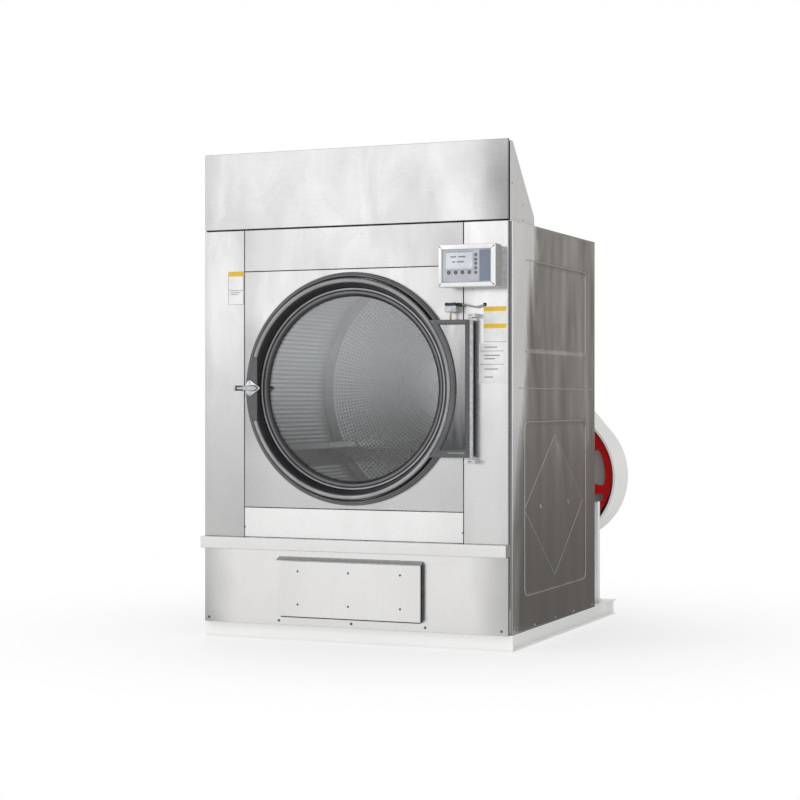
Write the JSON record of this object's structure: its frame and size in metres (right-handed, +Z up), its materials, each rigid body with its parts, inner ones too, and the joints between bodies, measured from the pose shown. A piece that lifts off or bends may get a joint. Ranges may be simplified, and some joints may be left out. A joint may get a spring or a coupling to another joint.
{
  "type": "tumble dryer",
  "caption": "Large front-loading industrial tumble dryer: stainless cabinet, round glazed door, lint drawer, control box, and a two-stage belt drive behind.",
  "frame": {"origin": "centre of the whole machine's footprint, on the floor", "axes": "+Z up, -Y out of the front (door side), +X to the right of someone facing the front"},
  "size_m": [1.524, 2.033, 2.25],
  "materials": {
    "stainless_front": "vertical brushed stainless steel",
    "stainless_side": "bright stainless sheet, darker by reflection",
    "stainless_drum": "perforated stainless steel",
    "galvanised": "galvanised sheet",
    "white_paint": "off-white gloss paint",
    "dark_paint": "dark grey paint",
    "graphite": "satin graphite hammered paint on castings",
    "chrome": "polished",
    "glass": "clear toughened glass",
    "rubber": "black moulded rubber",
    "red_paint": "red gloss paint",
    "cast_iron": "machined and cast iron",
    "motor_paint": "blue-grey motor paint",
    "display_film": "silver and blue-grey membrane",
    "button_plastic": "domed grey push buttons",
    "black_plastic": "black moulded plastic",
    "cable_grey": "grey cable jacket",
    "brass": "turned brass",
    "heater_fins": "finned coil"
  },
  "bodies": {
    "cabinet": {"base_channel_front": "white_paint", "base_channel_left": "white_paint", "base_channel_rear": "white_paint", "base_channel_right": "white_paint", "belt_guard": "white_paint", "control_box_body": "galvanised", "control_box_lid": "stainless_front", "control_display": "display_film", "door_frame_ring": "graphite", "door_switch_body": "galvanised", "door_switch_cable": "cable_grey", "drive_motor": "motor_paint", "drive_table": "dark_paint", "drum_bearing_housing": "cast_iron", "fan_housing": "galvanised", "fan_motor": "motor_paint", "front_door_panel": "stainless_front", "front_lower_panel": "stainless_front", "front_pilaster_left": "stainless_front", "front_pilaster_right": "stainless_front", "front_upper_panel": "stainless_front", "header_front_panel": "stainless_front", "header_hood": "stainless_side", "heater_coil": "heater_fins", "hinge_bracket_lower": "chrome", "hinge_bracket_upper": "chrome", "jackshaft_bearing_block": "cast_iron", "latch_keeper": "black_plastic", "ledge_bar": "stainless_front", "plinth_panel": "stainless_front", "primary_belt": "rubber", "rear_bearing_beam": "white_paint", "rear_panel": "galvanised", "roof_panel": "stainless_side", "secondary_belt": "rubber", "side_panel_left": "stainless_side", "side_panel_right": "stainless_side", "stand_post_left": "white_paint", "stand_post_right": "white_paint"},
    "door": {"door_ring": "graphite", "door_gasket": "rubber", "door_glass": "glass", "door_hinge_plate": "graphite", "door_pull_plate": "graphite", "latch_body": "chrome"},
    "latch": {"latch_plunger": "chrome"},
    "lint_drawer": {"lint_drawer_front": "stainless_front", "lint_filter_tray": "galvanised"},
    "switch_plunger": {"door_switch_plunger": "brass"},
    "drum": {"drum_shell": "stainless_drum", "drum_shaft": "galvanised", "drum_pulley": "cast_iron"},
    "jackshaft": {"jackshaft": "cast_iron", "jackshaft_pulley": "red_paint"},
    "motor_rotor": {"motor_pulley": "cast_iron"},
    "fan": {"fan_impeller": "galvanised"},
    "button_1": {"control_button_1": "button_plastic"},
    "button_2": {"control_button_2": "button_plastic"},
    "button_3": {"control_button_3": "button_plastic"},
    "button_4": {"control_button_4": "button_plastic"}
  },
  "joints": [
    {"name": "door_swing", "type": "hinge", "parent": "cabinet", "child": "door", "pos_m": [0.595, -0.9285, 1.157], "axis": [0, 0, 1], "range_deg": [0, 160]},
    {"name": "latch_plunger", "type": "slide", "parent": "door", "child": "latch", "axis": [1, 0, 0], "range_m": [0, 0.01], "stiffness_N_per_m": 600, "springref_m": -0.004},
    {"name": "lint_drawer", "type": "slide", "parent": "cabinet", "child": "lint_drawer", "axis": [0, -1, 0], "range_m": [0, 0.35]},
    {"name": "door_switch", "type": "slide", "parent": "cabinet", "child": "switch_plunger", "axis": [0, 0, 1], "range_m": [0, 0.003], "stiffness_N_per_m": 400, "springref_m": -0.002},
    {"name": "drum_spin", "type": "hinge", "parent": "cabinet", "child": "drum", "pos_m": [0, -0.8835, 1.157], "axis": [0, 1, 0], "continuous": true},
    {"name": "jackshaft_spin", "type": "hinge", "parent": "cabinet", "child": "jackshaft", "pos_m": [0.405, -0.8835, 0.714], "axis": [0, 1, 0], "continuous": true},
    {"name": "motor_spin", "type": "hinge", "parent": "cabinet", "child": "motor_rotor", "pos_m": [0.01, -0.8835, 0.72], "axis": [0, 1, 0], "continuous": true},
    {"name": "fan_spin", "type": "hinge", "parent": "cabinet", "child": "fan", "pos_m": [-0.3, -0.8835, 0.33], "axis": [0, 1, 0], "continuous": true},
    {"name": "button_1_press", "type": "slide", "parent": "cabinet", "child": "button_1", "axis": [0, 1, 0], "range_m": [0, 0.003], "stiffness_N_per_m": 300, "springref_m": -0.001},
    {"name": "button_2_press", "type": "slide", "parent": "cabinet", "child": "button_2", "axis": [0, 1, 0], "range_m": [0, 0.003], "stiffness_N_per_m": 300, "springref_m": -0.001},
    {"name": "button_3_press", "type": "slide", "parent": "cabinet", "child": "button_3", "axis": [0, 1, 0], "range_m": [0, 0.003], "stiffness_N_per_m": 300, "springref_m": -0.001},
    {"name": "button_4_press", "type": "slide", "parent": "cabinet", "child": "button_4", "axis": [0, 1, 0], "range_m": [0, 0.003], "stiffness_N_per_m": 300, "springref_m": -0.001}
  ],
  "couplings": [
    {"joint": "jackshaft_spin", "follows": "drum_spin", "ratio": 5.3333},
    {"joint": "motor_spin", "follows": "drum_spin", "ratio": 29.673}
  ]
}
